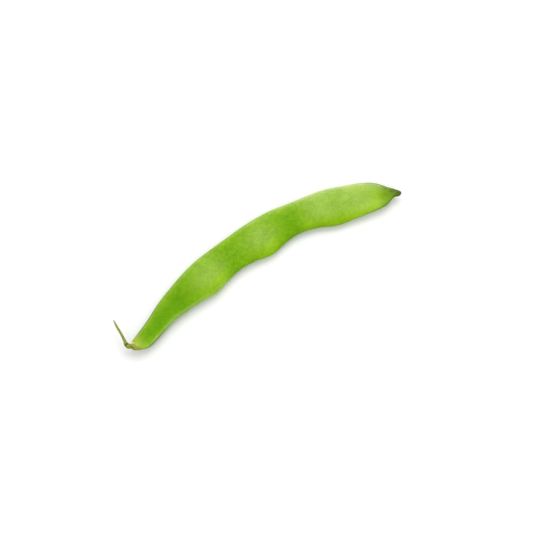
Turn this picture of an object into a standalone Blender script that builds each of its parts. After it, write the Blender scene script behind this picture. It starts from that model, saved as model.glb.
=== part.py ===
"""Flat bean: one broad, flattened green pod with its calyx and its stem, lying on its side.

+X runs from the stem to the beak, +Y to the pod's back suture and +Z up. The origin is the middle of
the flat spot under the pod's middle swelling, on the surface that the bean lies on. Units are metres.
"""

import math
import random

import bmesh
import bpy
import numpy as np
from mathutils import Vector

MM = 0.001

# Driving dimensions of the pod.
POD_LENGTH = 150 * MM
POD_WIDTH = 20 * MM
POD_THICKNESS = 7.8 * MM
POD_BOW = 15 * MM

# Each curve gives a value at shares of the pod's length, from the stem end to the tip of the beak.
# The middle line's distance from the chord, as a share of the bow.
BOW_CURVE = (
    (0.00, -0.10), (0.03, -0.05), (0.06, 0.04), (0.10, 0.20), (0.15, 0.37), (0.20, 0.51), (0.30, 0.73),
    (0.41, 0.92), (0.53, 1.00), (0.59, 1.00), (0.65, 0.96), (0.78, 0.75), (0.89, 0.42), (0.95, 0.20),
    (0.98, 0.10), (1.00, 0.00),
)
# Half-widths from the middle line to the back suture and to the front one, as shares of half the width.
# The front edge swells three times over the seeds and draws in between them.
BACK_CURVE = (
    (0.00, 0.23), (0.012, 0.305), (0.03, 0.365), (0.06, 0.43), (0.10, 0.48), (0.15, 0.63), (0.20, 0.74),
    (0.30, 0.92), (0.41, 0.89), (0.53, 0.95), (0.59, 0.94), (0.65, 0.88), (0.78, 0.89), (0.84, 0.83),
    (0.89, 0.79), (0.92, 0.70), (0.95, 0.48), (0.965, 0.33), (0.98, 0.20), (0.99, 0.12), (1.00, 0.06),
)
FRONT_CURVE = (
    (0.00, 0.20), (0.012, 0.31), (0.03, 0.46), (0.06, 0.51), (0.10, 0.53), (0.15, 0.56), (0.20, 0.68),
    (0.25, 0.80), (0.30, 0.94), (0.36, 0.84), (0.41, 0.78), (0.47, 0.86), (0.53, 1.02), (0.59, 0.84),
    (0.65, 0.72), (0.71, 0.80), (0.78, 1.00), (0.84, 0.91), (0.89, 0.78), (0.92, 0.68), (0.95, 0.51),
    (0.965, 0.33), (0.98, 0.205), (0.99, 0.19), (1.00, 0.12),
)
# The thickness, as a share of the pod's, and the height of the middle plane, as a share of the thickness.
THICKNESS_CURVE = (
    (0.00, 0.36), (0.03, 0.50), (0.10, 0.66), (0.20, 0.81), (0.30, 0.99), (0.41, 0.91), (0.53, 1.04),
    (0.65, 0.91), (0.78, 1.05), (0.89, 0.85), (0.95, 0.56), (0.98, 0.34), (1.00, 0.24),
)
LIFT_CURVE = ((0.00, 0.56), (0.20, 0.52), (0.80, 0.52), (1.00, 0.56))
# The lean of the cross-section about the middle line, in degrees.
LEAN_CURVE = ((0.00, 2), (0.10, 0), (0.30, 1), (0.55, 4), (0.80, 6), (0.92, 3), (1.00, 0))

REST_SHARE = 0.53
STEM_CAP = 0.012
BEAK_CAP = 0.006

# The ridge along both sutures: how far it stands out, half its thickness, the most that both may be of
# the section's half-sizes, and the arc it goes round before the broad face rises from it.
RIDGE_OUT = 0.42 * MM
RIDGE_HALF = 0.68 * MM
OUT_OF_WIDTH = 0.13
OUT_OF_THICKNESS = 0.26
HALF_OF_THICKNESS = 0.42
RIDGE_TURN = math.radians(30)
RIDGE_ARC = math.radians(118)
FACE_FULLNESS = 2.3
FACE_ROUNDNESS = 0.70

# The seeds, which show as soft mounds on both faces, a little nearer the back suture.
SEED_COUNT = 8
FIRST_SEED = 0.215
LAST_SEED = 0.895
SEED_LONG = 4.8 * MM
SEED_BROAD = 4.6 * MM
SEED_RISE = (0.26 * MM, 0.50 * MM)
SEED_JITTER = 0.008
SEED_SIDE = 1.1 * MM
SEED_START = 11

POD_RINGS = 104
POD_SIDES = 48

# The calyx: a thin cup round the pod's stem end that runs out in four short pointed lobes.
CALYX_GAP = 0.25 * MM
CALYX_WALL = 0.60 * MM
CALYX_BASE = 1.1 * MM
CUP_REACH = 0.6 * MM
LOBE_REACH = 1.3 * MM
LOBE_CURL = 0.2 * MM
LOBES = 4
LOBE_PHASE = math.radians(11)
LOBE_POINT = 1.25
CALYX_RINGS = 20
CALYX_SIDES = 48
BRACT_SIZE = Vector((1.0, 0.7, 0.36)) * MM
BRACT_TURNS = (math.radians(78), math.radians(-102))
BRACT_REACH = 0.3 * MM
BRACT_RINGS = 8
BRACT_SIDES = 12

# The stem's route from the calyx, in mm from the pod's end, with its radius: a knee, then a long taper.
STEM_ROUTE = (
    (-1.42, 1.36, 0.00, 1.05),
    (-2.00, 1.76, 0.02, 1.05),
    (-2.36, 2.42, 0.10, 1.03),
    (-2.46, 3.35, 0.22, 0.94),
    (-2.30, 4.65, 0.50, 0.71),
    (-2.16, 7.19, 1.20, 0.60),
    (-2.16, 9.58, 1.90, 0.58),
    (-2.20, 12.2, 2.60, 0.54),
    (-2.10, 15.4, 3.25, 0.38),
)
STEM_POINTS = 26
STEM_ROUNDNESS = 2


class SmoothCurve:
    """A smooth curve through rows of values at rising stations."""

    def __init__(self, stations, values):
        self.stations = np.array(stations)
        self.values = np.array(values)
        self.slopes = np.gradient(self.values, self.stations, axis=0)

    def __call__(self, at):
        last = len(self.stations) - 2
        i = min(max(int(np.searchsorted(self.stations, at)) - 1, 0), last)
        step = self.stations[i + 1] - self.stations[i]
        u = (at - self.stations[i]) / step
        value = (2 * u**3 - 3 * u**2 + 1) * self.values[i] + (3 * u**2 - 2 * u**3) * self.values[i + 1]
        return value + ((u**3 - 2 * u**2 + u) * self.slopes[i] + (u**3 - u**2) * self.slopes[i + 1]) * step


bow_at, back_at, front_at, thickness_at, lift_at, lean_at = (
    SmoothCurve(*zip(*curve))
    for curve in (BOW_CURVE, BACK_CURVE, FRONT_CURVE, THICKNESS_CURVE, LIFT_CURVE, LEAN_CURVE)
)


def middle_line(along):
    """A point of the pod's middle line, from the pod's start on the table."""
    return Vector((along * POD_LENGTH, bow_at(along) * POD_BOW, lift_at(along) * POD_THICKNESS))


REST_POINT = middle_line(REST_SHARE).xy.to_3d()


def level_direction(along, step=1e-3):
    """The level direction of the middle line there."""
    return (middle_line(along + step) - middle_line(along - step)).xy.to_3d().normalized()


def place(along, side, height):
    """A point beside and above the middle line, in the leaning plane of that cross-section."""
    lean = math.radians(lean_at(along))
    level = level_direction(along)
    across = Vector((-level.y, level.x, 0))
    up = Vector((0, 0, 1))
    offset = across * (side * math.cos(lean) - height * math.sin(lean))
    offset += up * (side * math.sin(lean) + height * math.cos(lean))
    return middle_line(along) + offset - REST_POINT


def half_sizes(along, turn):
    """Half-width on that turn's side of the middle line, and half-thickness."""
    half_width = back_at(along) if math.cos(turn) >= 0 else front_at(along)
    return half_width * POD_WIDTH / 2, thickness_at(along) * POD_THICKNESS / 2


def quarter_round(share):
    """Rises from 0 to 1 like a quarter of a circle, and stays 1."""
    return math.sqrt(1 - (1 - min(max(share, 0), 1)) ** 2)


def seed_mounds():
    """Share of the length and rise of each seed, from an evenly spaced row with a little jitter."""
    draw = random.Random(SEED_START)
    shares = np.linspace(FIRST_SEED, LAST_SEED, SEED_COUNT)
    return [(s + draw.uniform(-SEED_JITTER, SEED_JITTER), draw.uniform(*SEED_RISE)) for s in shares]


SEEDS = seed_mounds()


def seed_rise(along, side):
    """How far the face stands up over the seeds."""
    across = (side - SEED_SIDE) / SEED_BROAD
    rise = 0
    for share, height in SEEDS:
        lengthwise = (along - share) * POD_LENGTH / SEED_LONG
        rise += height * math.exp(-(lengthwise**2) - across**2)
    return rise


def section_point(turn, half_width, half_thickness):
    """Distance from the middle line and height over the middle plane of one point of a section.

    The turn is 0 at the suture and a right angle in the middle of the face. It goes round the
    ridge first, down into the groove, and then over the face.
    """
    ridge_out = min(RIDGE_OUT, OUT_OF_WIDTH * half_width, OUT_OF_THICKNESS * half_thickness)
    ridge_half = min(RIDGE_HALF, HALF_OF_THICKNESS * half_thickness)
    if turn <= RIDGE_TURN:
        angle = turn / RIDGE_TURN * RIDGE_ARC
        return half_width - ridge_out * (1 - math.cos(angle)), ridge_half * math.sin(angle)
    groove_side = half_width - ridge_out * (1 - math.cos(RIDGE_ARC))
    groove_height = ridge_half * math.sin(RIDGE_ARC)
    share = math.cos((turn - RIDGE_TURN) / (math.pi / 2 - RIDGE_TURN) * math.pi / 2)
    swell = max(0, 1 - share**FACE_FULLNESS) ** FACE_ROUNDNESS
    return groove_side * share, groove_height + (half_thickness - groove_height) * swell


def pod_point(along, turn):
    """A point of the pod's skin, by share of the length and by the turn from the back suture."""
    half_width, half_thickness = half_sizes(along, turn)
    ends = quarter_round(along / STEM_CAP) * quarter_round((1 - along) / BEAK_CAP)
    from_suture = math.asin(min(1, abs(math.sin(turn))))
    side, height = section_point(from_suture, half_width * ends, half_thickness * ends)
    side = math.copysign(side, math.cos(turn))
    height += seed_rise(along, side) * math.sin(from_suture) ** 2
    point = place(along, side, math.copysign(height, math.sin(turn)))
    point.z = max(point.z, 0)
    return point


def cup_point(reach, turn, grown):
    """A point of the pod's plain oval end, grown outwards, by the reach along the pod and the turn."""
    along = reach / POD_LENGTH
    half_width, half_thickness = half_sizes(max(along, 0), turn)
    ends = quarter_round((reach + grown) / (STEM_CAP * POD_LENGTH + grown))
    side = (half_width + grown) * ends * math.cos(turn)
    return place(along, side, (half_thickness + grown) * ends * math.sin(turn))


def lobe_share(turn):
    """0 between two lobes of the calyx and 1 at the point of one."""
    phase = ((turn - LOBE_PHASE) * LOBES / (2 * math.pi)) % 1
    return (1 - abs(2 * phase - 1)) ** LOBE_POINT


def calyx_point(polar, turn):
    """A sphere's upper half becomes the calyx's outside and its lower half the inside of the cup."""
    outside = polar <= math.pi / 2
    share = polar / (math.pi / 2) if outside else 2 - polar / (math.pi / 2)
    lobe = lobe_share(turn)
    grown = CALYX_GAP + LOBE_CURL * lobe * share**3
    base = CALYX_GAP
    if outside:
        grown += CALYX_BASE + (CALYX_WALL - CALYX_BASE) * min(1, 2 * share)
        base += CALYX_BASE
    reach = share * (CUP_REACH + LOBE_REACH * lobe + base) - base
    return cup_point(reach, turn, grown)


def ball(sides, rings):
    """A ball of radius 1 with its poles on Z."""
    shape = bmesh.new()
    bmesh.ops.create_uvsphere(shape, u_segments=sides, v_segments=rings, radius=1)
    return shape


def object_from(shape, name):
    """Turns a bmesh into a smooth-shaded object."""
    mesh = bpy.data.meshes.new(name)
    shape.to_mesh(mesh)
    shape.free()
    mesh.shade_smooth()
    return bpy.data.objects.new(name, mesh)


def plant_material(name, colour, roughness):
    material = bpy.data.materials.new(name)
    material.use_nodes = True
    shader = material.node_tree.nodes["Principled BSDF"]
    shader.inputs["Base Color"].default_value = (*colour, 1)
    shader.inputs["Roughness"].default_value = roughness
    shader.inputs["Metallic"].default_value = 0
    return material


def build_pod():
    """The pod with its beak: a ball whose rings become the pod's cross-sections."""
    shape = ball(POD_SIDES, POD_RINGS)
    for vertex in shape.verts:
        along = min(max((1 - vertex.co.z) / 2, 0), 1)
        vertex.co = pod_point(along, math.atan2(-vertex.co.y, vertex.co.x))
    return object_from(shape, "pod")


def build_cup():
    """The calyx without its bracts: a ball pushed in to a cup."""
    shape = ball(CALYX_SIDES, CALYX_RINGS)
    for vertex in shape.verts:
        polar = math.acos(min(max(vertex.co.z, -1), 1))
        vertex.co = calyx_point(polar, math.atan2(-vertex.co.y, vertex.co.x))
    return object_from(shape, "calyx")


def build_bract(turn):
    """One of the two small scales pressed on the calyx's base."""
    centre = cup_point(BRACT_REACH, turn, CALYX_GAP + CALYX_WALL)
    outward = (centre - place(BRACT_REACH / POD_LENGTH, 0, 0)).normalized()
    shape = ball(BRACT_SIDES, BRACT_RINGS)
    bmesh.ops.scale(shape, vec=BRACT_SIZE, verts=shape.verts)
    turned = outward.to_track_quat("Z", "X").to_matrix().to_4x4()
    turned.translation = centre
    bmesh.ops.transform(shape, matrix=turned, verts=shape.verts)
    return object_from(shape, "bract")


def build_calyx():
    """The calyx with its two bracts, joined into one solid."""
    calyx = build_cup()
    bpy.context.scene.collection.objects.link(calyx)
    bracts = bpy.data.collections.new("bracts")
    bpy.context.scene.collection.children.link(bracts)
    for turn in BRACT_TURNS:
        bracts.objects.link(build_bract(turn))
    union = calyx.modifiers.new("bracts", "BOOLEAN")
    union.operation = "UNION"
    union.operand_type = "COLLECTION"
    union.collection = bracts
    graph = bpy.context.evaluated_depsgraph_get()
    joined = bpy.data.meshes.new_from_object(calyx.evaluated_get(graph))
    calyx.modifiers.clear()
    calyx.data = joined
    bpy.context.scene.collection.objects.unlink(calyx)
    for bract in list(bracts.objects):
        bpy.data.objects.remove(bract)
    bpy.data.collections.remove(bracts)
    return calyx


def build_stem():
    """The stem that the pod hung from: a thin tapered stalk with a knee near the calyx."""
    start = middle_line(0) - REST_POINT
    route = SmoothCurve(np.linspace(0, 1, len(STEM_ROUTE)), np.array(STEM_ROUTE) * MM)
    curve = bpy.data.curves.new("stem", "CURVE")
    curve.dimensions = "3D"
    curve.bevel_depth = 1
    curve.bevel_resolution = STEM_ROUNDNESS
    curve.use_fill_caps = True
    spline = curve.splines.new("POLY")
    spline.points.add(STEM_POINTS - 1)
    for point, share in zip(spline.points, np.linspace(0, 1, STEM_POINTS)):
        x, y, z, radius = route(share)
        point.co = (*(start + Vector((x, y, z))), 1)
        point.radius = radius
    return bpy.data.objects.new("stem", curve)


def main():
    for old in list(bpy.data.objects):
        bpy.data.objects.remove(old)
    bean = bpy.data.collections.new("flat_bean")
    bpy.context.scene.collection.children.link(bean)
    pieces = (
        (build_pod(), plant_material("pod_skin", (0.24, 0.45, 0.035), 0.42)),
        (build_calyx(), plant_material("calyx_scales", (0.45, 0.40, 0.10), 0.7)),
        (build_stem(), plant_material("stem_skin", (0.19, 0.25, 0.035), 0.55)),
    )
    for piece, material in pieces:
        piece.data.materials.clear()
        piece.data.materials.append(material)
        bean.objects.link(piece)


main()
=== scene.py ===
import math
import random

import bmesh
import bpy
import numpy as np
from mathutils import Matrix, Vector, noise


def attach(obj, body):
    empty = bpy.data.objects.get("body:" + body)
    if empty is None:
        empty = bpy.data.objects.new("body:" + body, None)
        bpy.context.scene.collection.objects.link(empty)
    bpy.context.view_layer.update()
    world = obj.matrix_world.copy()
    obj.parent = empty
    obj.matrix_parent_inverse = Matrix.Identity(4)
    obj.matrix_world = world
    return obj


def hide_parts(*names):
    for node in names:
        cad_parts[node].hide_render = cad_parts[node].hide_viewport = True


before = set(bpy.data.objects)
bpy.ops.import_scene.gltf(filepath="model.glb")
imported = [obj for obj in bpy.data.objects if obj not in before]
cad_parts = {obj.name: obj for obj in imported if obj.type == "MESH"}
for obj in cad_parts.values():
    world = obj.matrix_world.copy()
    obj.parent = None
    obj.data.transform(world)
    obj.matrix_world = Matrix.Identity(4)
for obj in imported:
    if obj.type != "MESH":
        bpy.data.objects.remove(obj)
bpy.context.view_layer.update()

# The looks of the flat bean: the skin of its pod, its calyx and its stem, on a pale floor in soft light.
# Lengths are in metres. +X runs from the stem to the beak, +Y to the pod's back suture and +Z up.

MM = 0.001

# The pod's driving dimensions, as its solid has them.
POD_LENGTH = 150 * MM
POD_WIDTH = 20 * MM
POD_THICKNESS = 7.8 * MM
POD_BOW = 15 * MM

# The solid's curves along the pod, each a value at shares of the length. The bow is a share of the pod's
# bow, the back and the front are shares of half its width, the lift and the thickness are shares of its
# thickness, and the lean is in degrees.
BOW_CURVE = (
    (0.00, -0.10), (0.03, -0.05), (0.06, 0.04), (0.10, 0.20), (0.15, 0.37), (0.20, 0.51), (0.30, 0.73),
    (0.41, 0.92), (0.53, 1.00), (0.59, 1.00), (0.65, 0.96), (0.78, 0.75), (0.89, 0.42), (0.95, 0.20),
    (0.98, 0.10), (1.00, 0.00),
)
BACK_CURVE = (
    (0.00, 0.23), (0.012, 0.305), (0.03, 0.365), (0.06, 0.43), (0.10, 0.48), (0.15, 0.63), (0.20, 0.74),
    (0.30, 0.92), (0.41, 0.89), (0.53, 0.95), (0.59, 0.94), (0.65, 0.88), (0.78, 0.89), (0.84, 0.83),
    (0.89, 0.79), (0.92, 0.70), (0.95, 0.48), (0.965, 0.33), (0.98, 0.20), (0.99, 0.12), (1.00, 0.06),
)
FRONT_CURVE = (
    (0.00, 0.20), (0.012, 0.31), (0.03, 0.46), (0.06, 0.51), (0.10, 0.53), (0.15, 0.56), (0.20, 0.68),
    (0.25, 0.80), (0.30, 0.94), (0.36, 0.84), (0.41, 0.78), (0.47, 0.86), (0.53, 1.02), (0.59, 0.84),
    (0.65, 0.72), (0.71, 0.80), (0.78, 1.00), (0.84, 0.91), (0.89, 0.78), (0.92, 0.68), (0.95, 0.51),
    (0.965, 0.33), (0.98, 0.205), (0.99, 0.19), (1.00, 0.12),
)
THICKNESS_CURVE = (
    (0.00, 0.36), (0.03, 0.50), (0.10, 0.66), (0.20, 0.81), (0.30, 0.99), (0.41, 0.91), (0.53, 1.04),
    (0.65, 0.91), (0.78, 1.05), (0.89, 0.85), (0.95, 0.56), (0.98, 0.34), (1.00, 0.24),
)
LIFT_CURVE = ((0.00, 0.56), (0.20, 0.52), (0.80, 0.52), (1.00, 0.56))
LEAN_CURVE = ((0.00, 2), (0.10, 0), (0.30, 1), (0.55, 4), (0.80, 6), (0.92, 3), (1.00, 0))

# The share of the length that lies over the frame's origin, and the shares over which the ends round off.
REST_SHARE = 0.53
STEM_CAP = 0.012
BEAK_CAP = 0.006
# The small step, as a share of a curve, over which its direction is read.
STEP = 1e-3

# The ridge along both sutures with its fine seam, the groove beside it, and how full the faces are.
RIDGE_OUT = 0.42 * MM
RIDGE_HALF = 0.68 * MM
OUT_OF_WIDTH = 0.13
OUT_OF_THICKNESS = 0.26
HALF_OF_THICKNESS = 0.42
RIDGE_TURN = math.radians(30)
RIDGE_ARC = math.radians(118)
SEAM_DEPTH = 0.10 * MM
SEAM_ARC = math.radians(16)
FACE_FULLNESS = 2.3
FACE_ROUNDNESS = 0.70
# The turns from the suture between which the paint of the ridge and of the seam fades out.
RIDGE_PAINT = (RIDGE_TURN, 0.8 * RIDGE_TURN)
SEAM_PAINT = (0.35 * RIDGE_TURN, 0.1 * RIDGE_TURN)

# The mounds over the seeds.
SEED_COUNT = 8
FIRST_SEED = 0.215
LAST_SEED = 0.895
SEED_LONG = 4.8 * MM
SEED_BROAD = 4.6 * MM
SEED_RISE = (0.26 * MM, 0.50 * MM)
SEED_JITTER = 0.008
SEED_SIDE = 1.1 * MM
SEED_START = 11

# The small waves of the faces and the edges. Each has its rise, its size and the start of its pattern.
SKIN_WAVES = ((0.16 * MM, 11 * MM, 1), (0.05 * MM, 3.6 * MM, 2))
EDGE_SIZE = 7 * MM
EDGE_WAVE = (0.10 * MM, EDGE_SIZE, 0)

# The folds of the beak, whose height is a share of the pod's. Their wave sways them, so its rise is in
# radians.
BEAK_START = 0.945
BEAK_FOLDS = 9
BEAK_FOLD = 0.09
FOLD_WAVE = (2, 3 * MM, 7)

# The least half-width that places across the pod are worked out with, and how fine the pod's skin is.
LEAST_HALF_WIDTH = 1 * MM
POD_RINGS = 440
POD_SIDES = 176

# The calyx: a cup with pointed lobes, ribs and veins. Its wall thins up to its middle, and again towards
# its lip.
CALYX_GAP = 0.12 * MM
CALYX_WALL = 0.60 * MM
CALYX_LIP = 0.22 * MM
CALYX_BASE = 1.1 * MM
CALYX_MIDDLE = 0.5
CUP_REACH = 0.6 * MM
LOBE_REACH = 1.3 * MM
LOBE_CURL = 0.25 * MM
LOBES = 4
LOBE_PHASE = math.radians(11)
LOBE_POINT = 1.25
RIB_RISE = 0.12 * MM
RIB_WIDTH = 0.06
VEIN_RISE = 0.3 * RIB_RISE
VEINS_PER_LOBE = 6
RIM_RADIUS = 2 * MM
RIM_WAVE = (0.25 * MM, 0.9 * MM, 3)
CALYX_RINGS = 120
CALYX_SIDES = 192

# The two bracts, small pointed scales that are pressed on the calyx's base.
BRACT_SIZE = Vector((1.0, 0.7, 0.32)) * MM
BRACT_TURNS = (math.radians(78), math.radians(-102))
BRACT_REACH = 0.3 * MM
BRACT_TAPER = 0.55
BRACT_TAPER_SPAN = (-0.1, 1)
BRACT_VEINS = 9
BRACT_VEIN_RISE = 0.05 * MM
# The place on the calyx whose paint a bract has: the reach of its middle in mm, what is added to its turn's
# cosine, and its share of a lobe.
BRACT_PAINT_REACH = 0.3
BRACT_PAINT_TURN = -0.35
BRACT_PAINT_LOBE = 0.5
BRACT_RINGS = 40
BRACT_SIDES = 40

# The stem's route from the pod's end in mm, with its radius. The first point is sunk in the calyx.
STEM_ROUTE = (
    (-0.75, 1.05, 0.00, 0.92),
    (-1.42, 1.36, 0.00, 1.22),
    (-2.00, 1.76, 0.02, 1.20),
    (-2.36, 2.42, 0.10, 1.03),
    (-2.46, 3.35, 0.22, 0.94),
    (-2.30, 4.65, 0.50, 0.71),
    (-2.16, 7.19, 1.20, 0.60),
    (-2.16, 9.58, 1.90, 0.58),
    (-2.20, 12.2, 2.60, 0.54),
    (-2.10, 15.4, 3.25, 0.38),
)
# The shares of the route over which its two ends round off.
STEM_CAPS = (0.01, 0.004)
# The ribs along the stem, the wrinkles of its knee and its lumps are all shares of its radius.
STEM_RIBS = 7
RIB_SHARE = 0.07
RIB_TWIST = 3.2
KNEE_SHARE = 0.39
KNEE_LONG = 0.085
KNEE_WRINKLE = 0.07
KNEE_WRINKLES = 160
WRINKLE_WANDER = 1.5
LUMP_RADIUS = 0.4 * MM
LUMP_WAVE = (0.10, 1.1 * MM, 5)
STEM_RINGS = 320
STEM_SIDES = 72

# The camera: where it looks from, in degrees, how far off it stands, what it aims at, its lens in mm, and
# the nearest that it shows.
VIEW_AZIMUTH = -30.43
VIEW_ELEVATION = 74
VIEW_DISTANCE = 605.3 * MM
VIEW_AIM = Vector((-5.42, -13.99, 4.0)) * MM
VIEW_LENS = 85
VIEW_NEAREST = 10 * MM

# The floor's half side in metres, and the brightness of the pale room round it.
FLOOR_HALF = 4
ROOM_STRENGTH = 0.86

# How pale the skin is painted along the pod: a painted highlight over the three swellings, and paler skin
# at the stem end.
PALE_AND_HIGHLIGHT_CURVE = (
    (0.00, 0.80), (0.03, 0.70), (0.06, 0.14), (0.10, 0.00), (0.20, 0.10), (0.25, 0.62), (0.30, 1.02),
    (0.36, 0.92), (0.42, 0.36), (0.47, 0.76), (0.53, 1.07), (0.59, 0.57), (0.635, 0.22), (0.70, 0.96),
    (0.80, 1.04), (0.89, 1.05), (0.92, 0.80), (0.95, 0.36), (1.00, 0.00),
)


class SmoothCurve:
    """A smooth curve through rows of values at rising stations, read at many places at once."""

    def __init__(self, stations, values):
        self.stations = np.array(stations)
        self.values = np.array(values)
        self.slopes = np.gradient(self.values, self.stations, axis=0)

    def __call__(self, at):
        at = np.asarray(at, float)
        i = np.clip(np.searchsorted(self.stations, at) - 1, 0, len(self.stations) - 2)
        step = self.stations[i + 1] - self.stations[i]
        u = (at - self.stations[i]) / step
        if self.values.ndim > 1:
            step = step[..., None]
            u = u[..., None]
        value = (2 * u**3 - 3 * u**2 + 1) * self.values[i] + (3 * u**2 - 2 * u**3) * self.values[i + 1]
        return value + ((u**3 - 2 * u**2 + u) * self.slopes[i] + (u**3 - u**2) * self.slopes[i + 1]) * step


bow_at, back_at, front_at, thickness_at, lift_at, lean_at, pale_and_highlight_at = (
    SmoothCurve(*zip(*curve))
    for curve in (BOW_CURVE, BACK_CURVE, FRONT_CURVE, THICKNESS_CURVE, LIFT_CURVE, LEAN_CURVE, PALE_AND_HIGHLIGHT_CURVE)
)


def rows(*columns):
    """Columns of numbers as rows, one for each point."""
    return np.stack(np.broadcast_arrays(*columns), axis=-1)


def unit(vectors):
    return vectors / np.linalg.norm(vectors, axis=-1, keepdims=True)


def smooth_step(values, low, high):
    """0 at low, 1 at high and a smooth rise between them. It falls where low is over high."""
    share = np.clip((values - low) / (high - low), 0, 1)
    return share * share * (3 - 2 * share)


def wave(points, rise, size, start):
    """Smooth noise from about -rise to rise, with waves of about that size."""
    shift = Vector((start, 2 * start, 5 * start))
    return rise * np.array([noise.noise(Vector(point) / size + shift) for point in points])


def quarter_round(share):
    """Rises from 0 to 1 like a quarter of a circle, and stays 1."""
    return np.sqrt(1 - (1 - np.clip(share, 0, 1)) ** 2)


def middle_line(along):
    """Points of the pod's middle line, from the pod's start on the table."""
    return rows(along * POD_LENGTH, bow_at(along) * POD_BOW, lift_at(along) * POD_THICKNESS)


REST_POINT = middle_line(np.array(REST_SHARE)) * (1, 1, 0)


def place(along, side, height):
    """Points beside and above the middle line, in the leaning planes of their cross-sections."""
    lean = np.radians(lean_at(along))
    ahead = unit((middle_line(along + STEP) - middle_line(along - STEP)) * (1, 1, 0))
    across = rows(-ahead[..., 1], ahead[..., 0], 0)
    sideways = side * np.cos(lean) - height * np.sin(lean)
    upwards = side * np.sin(lean) + height * np.cos(lean)
    return middle_line(along) + across * sideways[..., None] + rows(0, 0, upwards) - REST_POINT


def half_sizes(along, turn):
    """Half-width on that turn's side of the middle line, and half-thickness."""
    half_width = np.where(np.cos(turn) >= 0, back_at(along), front_at(along))
    return half_width * POD_WIDTH / 2, thickness_at(along) * POD_THICKNESS / 2


def seed_mounds():
    """Share of the length and rise of each seed, from an evenly spaced row with a little jitter."""
    draw = random.Random(SEED_START)
    shares = np.linspace(FIRST_SEED, LAST_SEED, SEED_COUNT)
    return [(s + draw.uniform(-SEED_JITTER, SEED_JITTER), draw.uniform(*SEED_RISE)) for s in shares]


def seed_rise(along, side):
    """How far the faces stand up over the seeds."""
    across = (side - SEED_SIDE) / SEED_BROAD
    return sum(
        height * np.exp(-(((along - share) * POD_LENGTH / SEED_LONG) ** 2) - across**2)
        for share, height in seed_mounds()
    )


def section_points(turn, half_width, half_thickness):
    """Distances from the middle line and heights over the middle plane, by the turn from the suture.

    The turn goes round the ridge first, down into the groove, and then over the face.
    """
    ridge_out = np.minimum(OUT_OF_WIDTH * half_width, OUT_OF_THICKNESS * half_thickness)
    ridge_out = np.minimum(RIDGE_OUT, ridge_out)
    ridge_half = np.minimum(RIDGE_HALF, HALF_OF_THICKNESS * half_thickness)
    angle = np.minimum(turn / RIDGE_TURN, 1) * RIDGE_ARC
    seam = SEAM_DEPTH * ridge_half / RIDGE_HALF * np.exp(-((angle / SEAM_ARC) ** 2))
    ridge_side = half_width - ridge_out * (1 - np.cos(angle))
    ridge_height = ridge_half * np.sin(angle)
    over_face = np.clip((turn - RIDGE_TURN) / (math.pi / 2 - RIDGE_TURN), 0, 1)
    share = np.cos(over_face * math.pi / 2)
    swell = np.maximum(0, 1 - share**FACE_FULLNESS) ** FACE_ROUNDNESS
    on_ridge = turn <= RIDGE_TURN
    side = np.where(on_ridge, ridge_side - seam, ridge_side * share)
    height = np.where(on_ridge, ridge_height, ridge_height + (half_thickness - ridge_height) * swell)
    return side, height


def pod_form(polar, turn):
    """The pod's skin. Its rings run from the stem end to the beak, and turn 0 is the back suture."""
    along = np.clip((1 - np.cos(polar)) / 2, 0, 1)
    half_width, half_thickness = half_sizes(along, turn)
    ends = quarter_round(along / STEM_CAP) * quarter_round((1 - along) / BEAK_CAP)
    from_suture = np.arcsin(np.minimum(1, np.abs(np.sin(turn))))
    back = np.sign(np.cos(turn))
    top = np.sign(np.sin(turn))

    edge = wave(rows(along * POD_LENGTH, back * EDGE_SIZE, 0), *EDGE_WAVE)
    side, height = section_points(from_suture, (half_width + edge) * ends, half_thickness * ends)
    side = side * back
    on_face = np.sin(from_suture) ** 2
    height = height + seed_rise(along, side) * on_face
    straight = rows(along * POD_LENGTH, side, height * top)
    for skin_wave in SKIN_WAVES:
        height = height + wave(straight, *skin_wave) * on_face * ends
    folds = BEAK_FOLD * np.sin(BEAK_FOLDS * turn + wave(straight, *FOLD_WAVE))
    height = height * (1 + folds * smooth_step(along, BEAK_START, 1))

    points = place(along, side, height * top)
    points[:, 2] = np.maximum(points[:, 2], 0)
    across = side / np.maximum(half_width, LEAST_HALF_WIDTH)
    to_back = back_at(along) * POD_WIDTH / 2 - side
    to_front = front_at(along) * POD_WIDTH / 2 + side
    ridge = smooth_step(from_suture, *RIDGE_PAINT)
    seam = smooth_step(from_suture, *SEAM_PAINT)
    facts = {
        "straight": straight,
        # The third share is the painted highlight over the swellings, with the paler skin of the stem end.
        "shares": rows(along, across, pale_and_highlight_at(along)),
        "edges": rows(to_back / MM, to_front / MM, 0.0),
        "marks": rows(ridge, seam, 0.0),
    }
    return points, facts


def cup_point(reach, turn, grown):
    """Points of the pod's plain oval end, grown outwards, by the reach along the pod and the turn."""
    along = reach / POD_LENGTH
    half_width, half_thickness = half_sizes(np.maximum(along, 0), turn)
    ends = quarter_round((reach + grown) / (STEM_CAP * POD_LENGTH + grown))
    side = (half_width + grown) * ends * np.cos(turn)
    return place(along, side, (half_thickness + grown) * ends * np.sin(turn))


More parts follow.
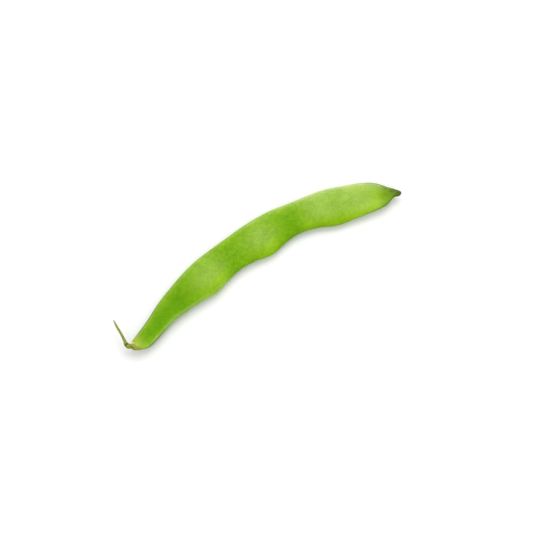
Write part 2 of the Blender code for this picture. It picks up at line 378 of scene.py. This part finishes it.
def calyx_form(polar, turn):
    """The calyx. The ball's first half becomes its outside and its second half the inside of the cup."""
    outside = polar <= math.pi / 2
    share = np.where(outside, polar, math.pi - polar) / (math.pi / 2)
    phase = ((turn - LOBE_PHASE) * LOBES / (2 * math.pi)) % 1
    lobe = (1 - np.abs(2 * phase - 1)) ** LOBE_POINT

    rim = wave(rows(np.cos(turn), np.sin(turn), 0) * RIM_RADIUS, *RIM_WAVE)
    rib = RIB_RISE * np.exp(-(((phase - 0.5) / RIB_WIDTH) ** 2)) * np.sin(share * math.pi)
    veins = VEIN_RISE * np.cos(turn * LOBES * VEINS_PER_LOBE) * share
    wall = CALYX_BASE + (CALYX_WALL - CALYX_BASE) * np.minimum(1, share / CALYX_MIDDLE)
    wall = wall + (CALYX_LIP - CALYX_WALL) * smooth_step(share, CALYX_MIDDLE, 1)
    curl = LOBE_CURL * lobe * share**3
    grown = CALYX_GAP + curl + np.where(outside, wall + rib + veins, 0)
    base = CALYX_GAP + np.where(outside, CALYX_BASE, 0)
    reach = share * (CUP_REACH + LOBE_REACH * lobe + rim + base) - base
    points = cup_point(reach, turn, grown)
    return points, {"places": rows(reach / MM, np.cos(turn), lobe)}


def bract_form(at_turn):
    """The form of the bract at that turn of the calyx."""
    turn = np.array(at_turn)
    centre = cup_point(np.array(BRACT_REACH), turn, np.array(CALYX_GAP + CALYX_WALL))
    outward = Vector(centre - place(np.array(BRACT_REACH / POD_LENGTH), np.array(0.0), np.array(0.0)))
    turned = np.array(outward.to_track_quat("Z", "X").to_matrix())
    to_back = math.cos(at_turn) + BRACT_PAINT_TURN

    def form(polar, turn):
        x, y, z = np.sin(polar) * np.cos(turn), -np.sin(polar) * np.sin(turn), np.cos(polar)
        tip = 1 - BRACT_TAPER * smooth_step(x, *BRACT_TAPER_SPAN)
        flat = rows(x, y * tip, z * tip) * np.array(BRACT_SIZE)
        flat[:, 2] += BRACT_VEIN_RISE * np.cos(BRACT_VEINS * y) * (1 - x**2)
        return flat @ turned.T + centre, {"places": rows(x + BRACT_PAINT_REACH, to_back, BRACT_PAINT_LOBE)}

    return form


def stem_form(polar, turn):
    """The stem: a thin ribbed stalk with a knee near the calyx."""
    share = (1 - np.cos(polar)) / 2
    route = SmoothCurve(np.linspace(0, 1, len(STEM_ROUTE)), np.array(STEM_ROUTE) * MM)
    x, y, z, radius = np.moveaxis(route(share), -1, 0)
    ahead = unit((route(share + STEP) - route(share - STEP))[:, :3])
    sideways = unit(np.cross(ahead, (0, 0, 1)))
    upwards = np.cross(sideways, ahead)
    ribs = RIB_SHARE * np.cos(STEM_RIBS * turn + RIB_TWIST * share)
    knee = np.exp(-(((share - KNEE_SHARE) / KNEE_LONG) ** 2))
    wrinkles = KNEE_WRINKLE * knee * np.sin(share * KNEE_WRINKLES + WRINKLE_WANDER * np.sin(2 * turn))
    lumps = wave(rows(x, y, z) + rows(np.cos(turn), np.sin(turn), 0) * LUMP_RADIUS, *LUMP_WAVE)
    first_cap, last_cap = STEM_CAPS
    ends = quarter_round(share / first_cap) * quarter_round((1 - share) / last_cap)
    girth = radius * ends * (1 + ribs + wrinkles + lumps)
    start = middle_line(np.array(0.0)) - REST_POINT
    points = start + rows(x, y, z)
    points = points + sideways * (girth * np.cos(turn))[:, None] + upwards * (girth * np.sin(turn))[:, None]
    return points, {"shares": rows(share, ribs / RIB_SHARE, knee)}


class Value:
    """A socket of a material that takes part in sums, so that shader maths reads as plain Python."""

    def __init__(self, finish, socket):
        self.finish = finish
        self.socket = socket

    def math(self, operation, *inputs):
        return self.finish.node("ShaderNodeMath", {"operation": operation}, inputs)

    def __add__(self, other):
        return self.math("ADD", self, other)

    def __sub__(self, other):
        return self.math("SUBTRACT", self, other)

    def __rsub__(self, other):
        return self.math("SUBTRACT", other, self)

    def __mul__(self, other):
        return self.math("MULTIPLY", self, other)

    def __or__(self, other):
        """The larger of two masks."""
        return self.math("MAXIMUM", self, other)

    __radd__ = __add__
    __rmul__ = __mul__


class Finish:
    """A material with the few kinds of node that the bean's skins are made of."""

    def __init__(self, name, **constants):
        self.material = bpy.data.materials.new(name)
        self.material.use_nodes = True
        self.tree = self.material.node_tree
        self.shader = self.tree.nodes["Principled BSDF"]
        for socket, value in constants.items():
            self.shader.inputs[socket.replace("_", " ")].default_value = value

    def node(self, kind, settings=None, inputs=(), output=0):
        """One output of a new node, whose settings are made first and then its sockets' values or links."""
        made = self.tree.nodes.new(kind)
        for name, value in (settings or {}).items():
            setattr(made, name, value)
        for key, value in inputs.items() if isinstance(inputs, dict) else enumerate(inputs):
            if isinstance(value, Value):
                self.tree.links.new(value.socket, made.inputs[key])
            else:
                made.inputs[key].default_value = value
        return Value(self, made.outputs[output])

    def attribute(self, name):
        return self.node("ShaderNodeAttribute", {"attribute_name": name}, output="Vector")

    def objects_own(self):
        return self.node("ShaderNodeTexCoord", output="Object")

    def parts(self, vector):
        return [self.node("ShaderNodeSeparateXYZ", inputs=[vector], output=axis) for axis in "XYZ"]

    def stretch(self, vector, factors):
        return self.node("ShaderNodeVectorMath", {"operation": "MULTIPLY"}, [vector, factors])

    def noise(self, vector, size, detail=2, roughness=0.5):
        """Noise from 0 to 1, about 0.5 on average, with waves of about that size."""
        inputs = {"Vector": vector, "Scale": 1 / size, "Detail": detail, "Roughness": roughness}
        return self.node("ShaderNodeTexNoise", inputs=inputs)

    def uneven(self, vector, **waves):
        """The same noise from -0.5 to 0.5."""
        return self.noise(vector, **waves) - 0.5

    def rise(self, value, low, high):
        """0 below low, 1 above high and a smooth rise between them. It falls where low is over high."""
        return self.node("ShaderNodeMapRange", {"interpolation_type": "SMOOTHSTEP"}, [value, low, high])

    def mix(self, mask, first, second):
        """The first colour where the mask is 0, the second where it is 1."""
        first, second = (c if isinstance(c, Value) else (*c, 1) for c in (first, second))
        return self.node("ShaderNodeMix", {"data_type": "RGBA"}, {0: mask, 6: first, 7: second}, output=2)

    def shade(self, colour, factor):
        return self.node("ShaderNodeVectorMath", {"operation": "SCALE"}, {0: colour, 3: factor})

    def bump(self, height, distance):
        return self.node("ShaderNodeBump", inputs={"Distance": distance, "Height": height})

    def done(self, **links):
        for socket, value in links.items():
            self.tree.links.new(value.socket, self.shader.inputs[socket.replace("_", " ")])
        return self.material


# The pod's colours.
DEEP_GREEN = (0.108, 0.282, 0.002)
PALE_GREEN = (0.212, 0.405, 0.004)
YELLOW_GREEN = (0.245, 0.400, 0.004)
# Painted sheen: the whitish veil of reflected light laid over the green.
SHEEN_COLOUR = (0.75, 0.80, 0.45)
# Painted highlight on the back crest, where its ridge catches the light.
CREST_HIGHLIGHT_GREEN = (0.30, 0.50, 0.055)
CREST_HIGHLIGHT_CREAM = (0.50, 0.58, 0.22)
# Partly the sutures' own olive, partly painted shade at their grazing edges and in the seam's groove.
CREST_OLIVE_AND_SHADE = (0.14, 0.20, 0.03)
SEAM_OLIVE_AND_SHADE = (0.08, 0.11, 0.012)
# Painted sheen: the whitish veil along the back by the beak.
BACK_SHEEN_GREEN = (0.29, 0.41, 0.17)
STEM_END_GREEN = (0.36, 0.49, 0.048)
COLLAR_CREAM = (0.51, 0.595, 0.15)
BEAK_OLIVE = (0.120, 0.205, 0.003)
TIP_BROWN = (0.050, 0.062, 0.010)

# The spans of the pod's masks. A mask rises from 0 to 1 between a span's two places, and falls where the
# first is the larger. These lie along the pod, in shares of its length.
NECK = (0.40, 0.30)
FAR_HALF = (0.50, 0.72)
FAR_END = (0.80, 0.90)
PAST_NECK = (0.25, 0.55)
BY_STEM = (0.12, 0.05)
YELLOWING = (0.70, 0.90)
RIM_BY_STEM = (0.22, 0.06)
LINE_START = (0.12, 0.20)
CREST_HIGHLIGHT_START = (0.10, 0.18)
CREST_HIGHLIGHT_END = (0.90, 0.84)
PALE_FRONT_START = (0.07, 0.13)
SOFT_CREST_START = (0.20, 0.35)
SOFT_CREST_END = (0.93, 0.86)
BACK_SHEEN_START = (0.87, 0.92)
STEM_END = (0.043, 0.011)
COLLAR = (0.017, 0.009)
BEAK = (0.900, 0.972)
TIP = (0.958, 0.988)

# These lie across it, from -1 at the front edge through 0 on the middle line to 1 at the back edge.
FAR_FRONT = (-0.10, -0.60)
FRONT_HALF = (-0.10, -0.80)
BACK_MARGIN = (0.00, 0.90)
SHEEN_FRONT = (-0.90, -0.15)
SHEEN_BACK = (0.0, 0.7)
CREST_BACK = (0.0, 0.5)
CREST_FRONT = (0.0, -0.5)
COLLAR_BACK = (-0.6, 0.0)
BEAK_FRONT = (0.1, -0.7)

# And these lie inwards from an edge, in mm.
FRONT_MARGIN = (2.6, 0.6)
FRONT_RIM = (2.1, 0.5)
BACK_RIM = (2.6, -0.4)
BACK_BAND = (6.0, 0.0)
BACK_LINE = (2.8, 0.4)
BACK_SHEEN_BAND = (6.0, 1.5)

# How much the painted highlight over the swellings and the margins lighten the green, how much calmer the
# neck is than the rest, and how strong the yellow towards the beak is. The back margin is partly paler skin
# and partly painted highlight; the neck's pale front margin is painted bounce light from the floor.
SWELLING_HIGHLIGHT = 0.92
MARGIN_LIGHT = 0.66
MARGIN_LIGHT_PAST_NECK = 0.27
MARGIN_LIGHT_BY_STEM = 0.25
FRONT_BOUNCE_LIGHT = 0.40
NECK_CALM = 0.4
YELLOW_SHARE = 0.35

# How strong the painted sheen is: over the swellings, at the front, and in the rim, the band and the line
# along the back.
SWELLING_SHEEN = 0.092
SHEEN_BACK_LOSS = 0.5
FAR_FRONT_SHEEN = 0.04
NECK_SHEEN = 0.12
RIM_SHEEN = 0.07
RIM_SHEEN_FAR = 0.45
RIM_SHEEN_BY_STEM = 0.25
BAND_SHEEN = 0.01
BAND_SHEEN_FAR = 0.08
LINE_SHEEN = 0.07

# How much brighter the front is painted: painted light that lifts the shade on the front half and at the
# far front.
FRONT_PAINTED_LIGHT = 0.14
FAR_FRONT_PAINTED_LIGHT = 0.11

# How strong the painted highlight on the back crest and the dark paint of the crests and seams are, the
# dark being partly their own olive and partly painted edge shade, and what the neck's pale front takes off
# it.
CREST_HIGHLIGHT = 0.55
DARK_CREST_AND_SHADE = 0.70
SOFT_CREST_LOSS = 0.45
PALE_FRONT_CREST_LOSS = 0.85
PALE_FRONT_SEAM_LOSS = 0.4

# How strong the paint of the two ends is, and how their edges slant or lag behind across the pod.
BACK_SHEEN_SHARE = 0.28
STEM_END_SHARE = 0.8
STEM_END_SLANT = 0.006
COLLAR_SHARE = 0.6
BEAK_SHARE = 0.82
BEAK_FRONT_LAG = 0.008
TIP_SHARE = 0.60
TIP_SLANT = 0.008

# The noises on the pod's skin. Its fibres are drawn out along it.
CLOUDS = {"size": 12 * MM}
PATCHES = {"size": 7.5 * MM}
MOTTLE = {"size": 1.7 * MM, "detail": 3, "roughness": 0.6}
GRAIN = {"size": 0.7 * MM}
FIBRES = {"size": 0.5 * MM, "detail": 3}
FIBRE_STRETCH = (0.10, 1, 1)

POD_ROUGHNESS = 0.46
BEAK_ROUGHNESS = 0.1
POD_RELIEF = 0.05 * MM


class PodFinish(Finish):
    """The pod's finish. It knows each point's place on the pod, and the noises that break up its coats."""

    def __init__(self, name, **constants):
        super().__init__(name, **constants)
        self.along, self.across, self.pale_and_highlight = self.parts(self.attribute("shares"))
        self.from_back, self.from_front, _ = self.parts(self.attribute("edges"))
        self.ridge, self.seam, _ = self.parts(self.attribute("marks"))
        straight = self.attribute("straight")
        self.clouds = self.uneven(straight, **CLOUDS)
        self.patches = self.uneven(straight, **PATCHES)
        self.mottle = self.uneven(straight, **MOTTLE)
        self.grain = self.uneven(straight, **GRAIN)
        self.fibres = self.uneven(self.stretch(straight, FIBRE_STRETCH), **FIBRES)
        self.neck = self.rise(self.along, *NECK)
        self.far_half = self.rise(self.along, *FAR_HALF)
        self.near_half = 1 - self.far_half
        self.far_front = self.rise(self.along, *FAR_END) * self.rise(self.across, *FAR_FRONT)
        front_lag = self.rise(self.across, *BEAK_FRONT) * BEAK_FRONT_LAG
        at_beak = self.along + self.mottle * 0.05 + self.patches * 0.02 - front_lag
        self.beak = self.rise(at_beak, *BEAK)

    def green(self):
        """The skin's green, deep in the waists and the neck, with painted highlight over the swellings and
        pale edges that are partly paler skin, partly painted light.
        """
        margin_light = MARGIN_LIGHT + self.rise(self.along, *PAST_NECK) * MARGIN_LIGHT_PAST_NECK
        margin_light = margin_light + self.rise(self.along, *BY_STEM) * MARGIN_LIGHT_BY_STEM
        # The back margin: partly paler skin, partly painted highlight.
        back_margin = self.rise(self.across, *BACK_MARGIN) * margin_light
        # Painted bounce light from the floor on the neck's front margin.
        front_bounce_light = self.rise(self.from_front, *FRONT_MARGIN) * self.neck * FRONT_BOUNCE_LIGHT
        # Painted highlight over the swellings, joined with the margins.
        light = self.pale_and_highlight * SWELLING_HIGHLIGHT | back_margin | front_bounce_light
        uneven = self.mottle + self.clouds * 0.3 + self.patches * 0.45 + self.grain * 0.7
        green = self.mix(light + (1 - self.neck * NECK_CALM) * uneven, DEEP_GREEN, PALE_GREEN)
        yellow = self.rise(self.along, *YELLOWING) * (YELLOW_SHARE + self.patches * 1.5)
        return self.mix(yellow, green, YELLOW_GREEN)

    def painted_sheen(self, colour):
        """The colour under a painted whitish sheen, over the swellings, along the back and at the neck's
        front.
        """
        inner = self.rise(self.across, *SHEEN_FRONT)
        inner = inner * (1 - self.rise(self.across, *SHEEN_BACK) * self.near_half * SHEEN_BACK_LOSS)
        # Painted sheen over the swellings, at the far front and on the neck's front rim.
        painted_sheen = self.pale_and_highlight * self.pale_and_highlight * self.pale_and_highlight * SWELLING_SHEEN * inner
        painted_sheen = painted_sheen + self.far_front * FAR_FRONT_SHEEN
        painted_sheen = painted_sheen + self.rise(self.from_front, *FRONT_RIM) * self.neck * NECK_SHEEN

        # Painted sheen along the back rim, band and line.
        rim = self.rise(self.from_back, *BACK_RIM)
        rim_painted_sheen = RIM_SHEEN + self.far_half * RIM_SHEEN_FAR
        rim_painted_sheen = rim_painted_sheen + self.rise(self.along, *RIM_BY_STEM) * RIM_SHEEN_BY_STEM
        band = self.rise(self.from_back, *BACK_BAND)
        line = self.rise(self.from_back, *BACK_LINE) * self.rise(self.along, *LINE_START) * self.near_half
        painted_sheen = painted_sheen + rim * rim * rim_painted_sheen
        painted_sheen = painted_sheen + band * (BAND_SHEEN + self.far_half * BAND_SHEEN_FAR)
        painted_sheen = painted_sheen + line * LINE_SHEEN
        return self.mix(painted_sheen * (1 + self.grain + self.patches * 0.6), colour, SHEEN_COLOUR)

    def shading(self, colour):
        """The colour, painted brighter at the front to lift the shade there, and broken up by the noises.
        """
        front_half = self.rise(self.across, *FRONT_HALF)
        # Painted light on the front half and the far front.
        brightness = 1 + front_half * FRONT_PAINTED_LIGHT + self.far_front * FAR_FRONT_PAINTED_LIGHT
        uneven = self.grain * 0.3 + self.mottle * 0.2 + self.patches * 0.3 + self.clouds * 0.1
        return self.shade(colour, brightness + uneven)

    def sutures(self, colour):
        """The ridges' crests, with painted highlight along most of the back and olive elsewhere, partly
        painted edge shade, and a dark seam on each, partly its own colour and partly painted shade.
        """
        # Painted highlight along the back crest.
        crest_highlight = self.rise(self.along, *CREST_HIGHLIGHT_START) * self.rise(self.along, *CREST_HIGHLIGHT_END)
        crest_highlight = crest_highlight * self.rise(self.across, *CREST_BACK)
        crest_colour = self.mix(self.far_half, CREST_HIGHLIGHT_GREEN, CREST_HIGHLIGHT_CREAM)
        colour = self.mix(self.ridge * crest_highlight * CREST_HIGHLIGHT, colour, crest_colour)

        pale_front = self.rise(self.along, *PALE_FRONT_START) * self.rise(self.across, *CREST_FRONT)
        pale_front = pale_front * self.neck
        soft = self.rise(self.along, *SOFT_CREST_START) * self.rise(self.along, *SOFT_CREST_END)
        strength = DARK_CREST_AND_SHADE - soft * SOFT_CREST_LOSS
        # Dark crests and seams: partly their own olive, partly painted shade.
        dark_crest_and_shade = self.ridge * (1 - crest_highlight) * (1 - pale_front * PALE_FRONT_CREST_LOSS) * strength
        dark_seam_and_shade = self.seam * (1 - pale_front * PALE_FRONT_SEAM_LOSS) * strength
        return self.mix(dark_seam_and_shade, self.mix(dark_crest_and_shade, colour, CREST_OLIVE_AND_SHADE), SEAM_OLIVE_AND_SHADE)

    def ends(self, colour):
        """The yellowish stem end with its cream collar, a painted whitish sheen along the back by the beak,
        and the dark beak.
        """
        # Painted sheen along the back by the beak.
        back_sheen = self.rise(self.from_back, *BACK_SHEEN_BAND) * self.rise(self.along, *BACK_SHEEN_START)
        colour = self.mix(back_sheen * BACK_SHEEN_SHARE, colour, BACK_SHEEN_GREEN)
        stem_end = self.rise(self.along - self.across * STEM_END_SLANT, *STEM_END)
        colour = self.mix(stem_end * STEM_END_SHARE, colour, STEM_END_GREEN)
        collar = self.rise(self.along, *COLLAR) * self.rise(self.across, *COLLAR_BACK)
        colour = self.mix(collar * COLLAR_SHARE, colour, COLLAR_CREAM)
        colour = self.mix(self.beak * self.beak * (BEAK_SHARE + self.patches), colour, BEAK_OLIVE)
        at_tip = self.along + self.mottle * 0.06 + self.fibres * 0.02 + self.across * TIP_SLANT
        tip = self.rise(at_tip, *TIP)
        return self.mix(tip * (TIP_SHARE + self.fibres * 1.5), colour, TIP_BROWN)


def pod_skin():
    """Fresh pod skin: satin, with its sheen partly painted into the colour, a little see-through, with a
    fine grain and fibres along it.
    """
    skin = PodFinish(
        "pod_skin",
        Specular_IOR_Level=0.05,
        Sheen_Weight=0.01,
        Sheen_Roughness=0.4,
        Subsurface_Weight=0.08,
        Subsurface_Radius=(0.6, 1.0, 0.15),
        Subsurface_Scale=1.0 * MM,
    )
    colour = skin.green()
    for coat in (skin.painted_sheen, skin.shading, skin.sutures, skin.ends):
        colour = coat(colour)
    roughness = POD_ROUGHNESS + skin.grain * 0.12 + skin.clouds * 0.08 + skin.beak * BEAK_ROUGHNESS
    relief = skin.grain * 0.25 + skin.fibres * 0.45 + skin.mottle * 0.6
    return skin.done(Base_Color=colour, Roughness=roughness, Normal=skin.bump(relief, POD_RELIEF))


# The calyx's colours.
SCALE_OCHRE = (0.34, 0.36, 0.04)
SCALE_CREAM = (0.62, 0.65, 0.19)
BASE_OCHRE = (0.27, 0.25, 0.025)
BASE_BROWN = (0.14, 0.13, 0.007)
POINT_OLIVE = (0.27, 0.31, 0.018)
FRONT_BROWN = (0.090, 0.080, 0.010)
SCALE_FLECK = (0.42, 0.40, 0.12)

# The spans of its masks: by the reach over the pod in mm, from -1 at the front to 1 at the back, and of
# the grain.
CALYX_FOOT = (0.35, -0.10)
CALYX_CORE = (-0.45, -0.95)
CALYX_POINTS = (0.80, 1.50)
DARK_FRONT_REACH = (1.3, 0.5)
CREAM_BACK = (-0.20, 0.40)
FOOT_BACK = (-0.05, 0.35)
DARK_FRONT = (-0.60, -0.90)
SCALE_FLECKS = (0.0, 0.25)

# How strong they are, and how far the blotches shift them.
FOOT_BACK_LOSS = 0.6
DARK_FRONT_SHARE = 0.8
SCALE_FLECK_SHARE = 0.3
BLOTCH_REACH = 1.6
BLOTCH_TURN = 0.6

CALYX_BLOTCHES = {"size": 1.1 * MM}
CALYX_GRAIN = {"size": 0.25 * MM, "detail": 3}
CALYX_ROUGHNESS = 0.68
CALYX_RELIEF = 0.06 * MM


def calyx_scales():
    """Dry calyx scales: brown by the stem, cream at the back, dark at the front and olive at the points."""
    skin = Finish("calyx_scales", Specular_IOR_Level=0.2, Sheen_Weight=0.05)
    own = skin.objects_own()
    reach, to_back, lobe = skin.parts(skin.attribute("places"))
    blotches = skin.uneven(own, **CALYX_BLOTCHES)
    grain = skin.uneven(own, **CALYX_GRAIN)
    reach = reach + blotches * BLOTCH_REACH
    to_back = to_back + blotches * BLOTCH_TURN

    colour = skin.mix(skin.rise(to_back, *CREAM_BACK), SCALE_OCHRE, SCALE_CREAM)
    foot = skin.rise(reach + skin.rise(to_back, *FOOT_BACK) * FOOT_BACK_LOSS, *CALYX_FOOT)
    colour = skin.mix(foot, colour, BASE_OCHRE)
    colour = skin.mix(skin.rise(reach, *CALYX_CORE), colour, BASE_BROWN)
    colour = skin.mix(skin.rise(reach, *CALYX_POINTS), colour, POINT_OLIVE)
    dark_front = skin.rise(to_back, *DARK_FRONT) * skin.rise(reach, *DARK_FRONT_REACH)
    colour = skin.mix(dark_front * DARK_FRONT_SHARE, colour, FRONT_BROWN)
    colour = skin.mix(skin.rise(grain, *SCALE_FLECKS) * SCALE_FLECK_SHARE, colour, SCALE_FLECK)
    roughness = CALYX_ROUGHNESS + grain * 0.2
    relief = grain + lobe * 0.3
    return skin.done(Base_Color=colour, Roughness=roughness, Normal=skin.bump(relief, CALYX_RELIEF))


# The stem's colours.
STEM_OLIVE = (0.16, 0.19, 0.024)
STEM_RIB_GREEN = (0.35, 0.40, 0.080)
KNEE_OLIVE = (0.070, 0.085, 0.006)
STEM_FOOT_OLIVE = (0.24, 0.28, 0.034)
DRY_END_GREY = (0.42, 0.42, 0.26)
STEM_FLECK = (0.34, 0.36, 0.10)

# The spans of its masks: by how far up a rib a point lies, by the knee, along the stem, and of the grain.
STEM_RIB = (-0.6, 1.2)
STEM_KNEE = (0.35, 0.95)
STEM_FOOT = (0.30, 0.21)
DRY_END = (0.88, 0.99)
STEM_FLECKS = (0.50, 0.75)

# How strong they are.
KNEE_PAINT = 0.75
FOOT_PAINT = 0.8
DRY_END_PAINT = 0.8
STEM_FLECK_PAINT = 0.3

STEM_GRAIN = {"size": 0.3 * MM, "detail": 3}
STEM_PATCHES = {"size": 2.2 * MM}
STEM_ROUGHNESS = 0.50
STEM_RELIEF = 0.06 * MM


def stem_skin():
    """Stem skin: olive, with paler ribs, a dark knee and a dry grey end."""
    skin = Finish("stem_skin", Specular_IOR_Level=0.08, Sheen_Weight=0.02)
    own = skin.objects_own()
    share, rib, knee = skin.parts(skin.attribute("shares"))
    grain = skin.noise(own, **STEM_GRAIN)
    patches = skin.noise(own, **STEM_PATCHES)

    colour = skin.mix(skin.rise(rib + (patches - 0.5) * 2, *STEM_RIB), STEM_OLIVE, STEM_RIB_GREEN)
    colour = skin.mix(skin.rise(knee, *STEM_KNEE) * KNEE_PAINT, colour, KNEE_OLIVE)
    colour = skin.mix(skin.rise(share, *STEM_FOOT) * FOOT_PAINT, colour, STEM_FOOT_OLIVE)
    colour = skin.mix(skin.rise(share, *DRY_END) * DRY_END_PAINT, colour, DRY_END_GREY)
    colour = skin.mix(skin.rise(grain, *STEM_FLECKS) * STEM_FLECK_PAINT, colour, STEM_FLECK)
    roughness = STEM_ROUGHNESS + grain * 0.25
    return skin.done(Base_Color=colour, Roughness=roughness, Normal=skin.bump(grain + patches, STEM_RELIEF))


# The floor's paper.
PAPER_SHADE = (0.86, 0.86, 0.86)
PAPER_WHITE = (0.88, 0.88, 0.88)
PAPER_GRAIN = {"size": 1.5 * MM}
PAPER_ROUGHNESS = 0.80


def floor_finish():
    """Smooth white paper."""
    paper = Finish("white_paper", Specular_IOR_Level=0.1)
    grain = paper.noise(paper.objects_own(), **PAPER_GRAIN)
    colour = paper.mix(grain, PAPER_SHADE, PAPER_WHITE)
    return paper.done(Base_Color=colour, Roughness=PAPER_ROUGHNESS + grain * 0.1)


def grow(name, form, rings, sides, material):
    """A ball whose points go where the form says. What the form tells of each point stays on the mesh."""
    shape = bmesh.new()
    bmesh.ops.create_uvsphere(shape, u_segments=sides, v_segments=rings, radius=1)
    ball = np.array([vertex.co for vertex in shape.verts])
    points, facts = form(np.arccos(np.clip(ball[:, 2], -1, 1)), np.arctan2(-ball[:, 1], ball[:, 0]))
    for vertex, point in zip(shape.verts, points):
        vertex.co = point
    mesh = bpy.data.meshes.new(name)
    shape.to_mesh(mesh)
    shape.free()
    mesh.shade_smooth()
    for fact, values in facts.items():
        attribute = mesh.attributes.new(fact, "FLOAT_VECTOR", "POINT")
        attribute.data.foreach_set("vector", values.astype(np.float32).ravel())
    mesh.materials.append(material)
    piece = bpy.data.objects.new(name, mesh)
    bpy.context.scene.collection.objects.link(piece)
    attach(piece, "root")
    return piece


def make_bean():
    """The pod, the calyx with its bracts, and the stem, in place of their plain solids."""
    pod = grow("bean_pod", pod_form, POD_RINGS, POD_SIDES, pod_skin())
    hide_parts("pod")
    scales = calyx_scales()
    calyx = grow("bean_calyx", calyx_form, CALYX_RINGS, CALYX_SIDES, scales)
    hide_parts("calyx")
    for number, turn in enumerate(BRACT_TURNS, 1):
        bract = grow(f"calyx_bract_{number}", bract_form(turn), BRACT_RINGS, BRACT_SIDES, scales)
    stem = grow("bean_stem", stem_form, STEM_RINGS, STEM_SIDES, stem_skin())
    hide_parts("stem")


def make_floor():
    """A plain white floor, far wider than the bean."""
    shape = bmesh.new()
    bmesh.ops.create_grid(shape, x_segments=1, y_segments=1, size=FLOOR_HALF)
    mesh = bpy.data.meshes.new("floor")
    shape.to_mesh(mesh)
    shape.free()
    mesh.materials.append(floor_finish())
    floor = bpy.data.objects.new("floor", mesh)
    bpy.context.scene.collection.objects.link(floor)


def direction(azimuth, elevation):
    """The direction from the bean to a place at that azimuth and elevation, in degrees."""
    a = math.radians(azimuth)
    e = math.radians(elevation)
    return Vector((math.sin(a) * math.cos(e), -math.cos(a) * math.cos(e), math.sin(e)))


def aim(thing, azimuth, elevation, distance):
    """Links a lamp or the camera, places it and turns it to the bean."""
    back = direction(azimuth, elevation)
    thing.location = VIEW_AIM + back * distance
    thing.rotation_euler = back.to_track_quat("Z", "Y").to_euler()
    bpy.context.scene.collection.objects.link(thing)


def soft_lamp(name, azimuth, elevation, distance, size, watts):
    """A round lamp of that size, aimed at the bean."""
    lamp = bpy.data.lights.new(name, "AREA")
    lamp.shape = "DISK"
    lamp.size = size
    lamp.energy = watts
    aim(bpy.data.objects.new(name, lamp), azimuth, elevation, distance)


def make_light():
    """Soft studio light: a wide lamp high behind the beak, a weaker one at the front, and a pale room."""
    soft_lamp("back_lamp", azimuth=135, elevation=55, distance=0.75, size=0.60, watts=2.6)
    soft_lamp("front_lamp", azimuth=-60, elevation=60, distance=1.1, size=0.9, watts=1.5)
    world = bpy.data.worlds.new("pale_room")
    world.use_nodes = True
    room = world.node_tree.nodes["Background"]
    room.inputs["Color"].default_value = (1, 1, 1, 1)
    room.inputs["Strength"].default_value = ROOM_STRENGTH
    bpy.context.scene.world = world


def make_camera():
    """The camera, at the photograph's viewing angle."""
    lens = bpy.data.cameras.new("camera")
    lens.lens = VIEW_LENS
    lens.clip_start = VIEW_NEAREST
    camera = bpy.data.objects.new("camera", lens)
    aim(camera, VIEW_AZIMUTH, VIEW_ELEVATION, VIEW_DISTANCE)
    bpy.context.scene.camera = camera
    bpy.context.scene.view_settings.view_transform = "Standard"


make_bean()
make_floor()
make_light()
make_camera()
